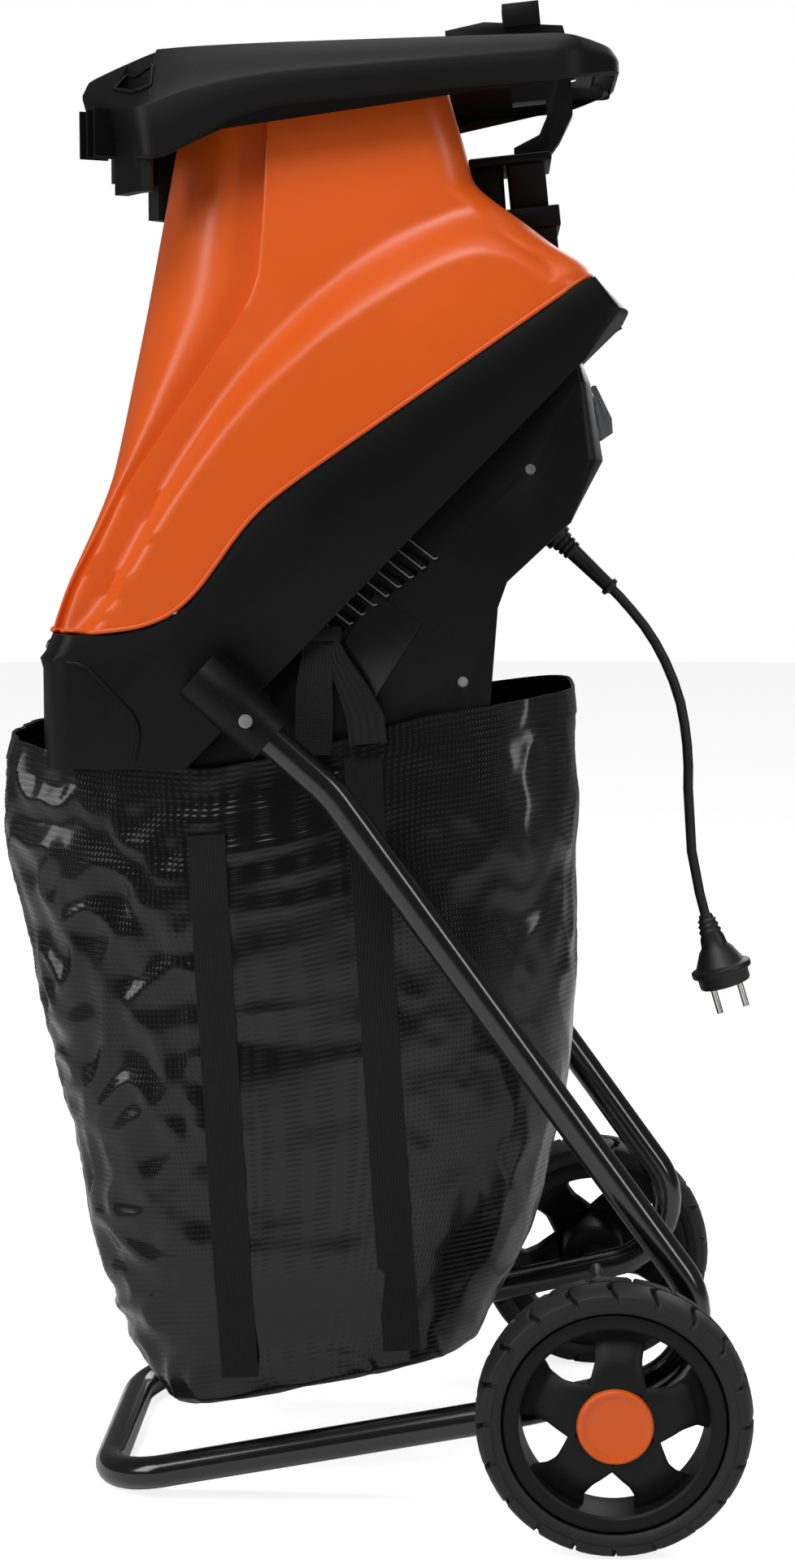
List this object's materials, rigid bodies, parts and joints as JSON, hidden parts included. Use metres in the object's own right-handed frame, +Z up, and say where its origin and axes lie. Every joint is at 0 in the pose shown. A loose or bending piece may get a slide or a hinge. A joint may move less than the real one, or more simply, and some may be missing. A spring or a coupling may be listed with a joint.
{
  "type": "electric garden shredder",
  "caption": "Electric garden shredder: orange hopper on a black cutter base and motor housing, on a wheeled tube frame with a woven collection bag below.",
  "frame": {"origin": "on the ground, under the middle of the box round the machine without its mains cord", "axes": "+X towards the wheels, -X towards the foot, +Y to the machine's right, +Z up"},
  "size_m": [0.5251, 0.448, 1.0165],
  "materials": {
    "orange_shell": "satin moulded polypropylene",
    "black_shell": "fine-textured moulded plastic",
    "frame_paint": "gloss black powder coat on steel tube",
    "tyre_rubber": "matt solid tyre",
    "rim_plastic": "satin moulded rim",
    "zinc_steel": "bright zinc-plated steel",
    "bearing_steel": "ground steel",
    "blade_steel": "ground tool steel",
    "core_steel": "laminated electrical steel",
    "copper_wire": "enamelled copper winding",
    "brass_holder": "brass brush holder",
    "cast_alloy": "die-cast aluminium",
    "woven_tarp": "glossy laminated woven polyethylene",
    "webbing": "ribbed polypropylene webbing",
    "cord_rubber": "black cord rubber",
    "nickel_pin": "nickel-plated brass",
    "label_film": "plain dark film with no lettering",
    "clear_flap": "smoky clear splash cover",
    "green_button": "moulded",
    "red_button": "moulded"
  },
  "bodies": {
    "chassis": {"cutter_base": "black_shell", "motor_housing": "black_shell", "chute_guard": "black_shell", "rating_plate": "label_film", "leg_socket_left": "black_shell", "leg_socket_right": "black_shell", "socket_screws": "zinc_steel", "housing_screws": "zinc_steel", "leg_tube_left": "frame_paint", "leg_tube_right": "frame_paint", "foot_tube": "frame_paint", "axle": "zinc_steel", "axle_spacers": "black_shell", "axle_clips": "zinc_steel", "stator_core": "core_steel", "field_coils": "copper_wire", "motor_frame": "cast_alloy", "gear_plate": "cast_alloy", "armature_bearings": "bearing_steel", "spindle_bearings": "bearing_steel", "brush_gear": "brass_holder", "counter_blade": "blade_steel", "safety_switch": "black_shell", "switch_box": "black_shell", "hinge_pin": "zinc_steel", "collection_bag": "woven_tarp", "bag_straps": "webbing", "bag_loops": "webbing", "bag_hooks": "black_shell", "power_cord": "cord_rubber", "strain_relief": "cord_rubber", "plug_body": "cord_rubber", "plug_pins": "nickel_pin"},
    "wheel_left": {"tyre_left": "tyre_rubber", "rim_left": "rim_plastic", "hub_cap_left": "orange_shell"},
    "wheel_right": {"tyre_right": "tyre_rubber", "rim_right": "rim_plastic", "hub_cap_right": "orange_shell"},
    "armature": {"motor_shaft": "bearing_steel", "armature_core": "core_steel", "commutator": "copper_wire", "cooling_fan": "black_shell", "pinion": "bearing_steel"},
    "cutter": {"spindle": "bearing_steel", "drive_gear": "bearing_steel", "knife_disc": "blade_steel", "knives": "blade_steel", "knife_screws": "zinc_steel"},
    "hopper": {"hood": "orange_shell", "hopper_tray": "black_shell", "feed_throat": "black_shell", "pusher_holder": "black_shell"},
    "pusher": {"pusher_body": "black_shell", "pusher_grip": "black_shell"},
    "lock": {"lock_knob": "black_shell", "lock_screw": "zinc_steel"},
    "flap": {"switch_flap": "clear_flap"},
    "start_button": {"start_button": "green_button"},
    "stop_button": {"stop_button": "red_button"}
  },
  "joints": [
    {"name": "wheel_left_spin", "type": "hinge", "parent": "chassis", "child": "wheel_left", "pos_m": [0.166, -0.2, 0.09], "axis": [0, 1, 0], "continuous": true},
    {"name": "wheel_right_spin", "type": "hinge", "parent": "chassis", "child": "wheel_right", "pos_m": [0.166, 0.2, 0.09], "axis": [0, 1, 0], "continuous": true},
    {"name": "cutter_spin", "type": "hinge", "parent": "chassis", "child": "cutter", "pos_m": [-0.03, 0, 0.66], "axis": [-0.6428, 0, 0.766], "continuous": true},
    {"name": "armature_spin", "type": "hinge", "parent": "chassis", "child": "armature", "pos_m": [-0.06677, 0, 0.62915], "axis": [-0.6428, 0, 0.766], "continuous": true},
    {"name": "hopper_hinge", "type": "hinge", "parent": "chassis", "child": "hopper", "pos_m": [-0.214, 0, 0.581], "axis": [0, -1, 0], "range_deg": [0, 75]},
    {"name": "pusher_lift", "type": "slide", "parent": "hopper", "child": "pusher", "axis": [-0.1045, 0, 0.9945], "range_m": [0, 0.22]},
    {"name": "lock_turn", "type": "hinge", "parent": "chassis", "child": "lock", "pos_m": [0.158, 0, 0.796], "axis": [-0.5004, 0, 0.8658], "range_deg": [0, 720]},
    {"name": "flap_hinge", "type": "hinge", "parent": "chassis", "child": "flap", "pos_m": [0.15381, 0, 0.75611], "axis": [0, -1, 0], "range_deg": [0, 80]},
    {"name": "start_press", "type": "slide", "parent": "chassis", "child": "start_button", "axis": [-0.9848, 0, -0.1738], "range_m": [0, 0.003], "stiffness_N_per_m": 300, "springref_m": -0.002},
    {"name": "stop_press", "type": "slide", "parent": "chassis", "child": "stop_button", "axis": [-0.9848, 0, -0.1738], "range_m": [0, 0.003], "stiffness_N_per_m": 300, "springref_m": -0.002}
  ],
  "couplings": [
    {"joint": "armature_spin", "follows": "cutter_spin", "ratio": -4.3333}
  ]
}
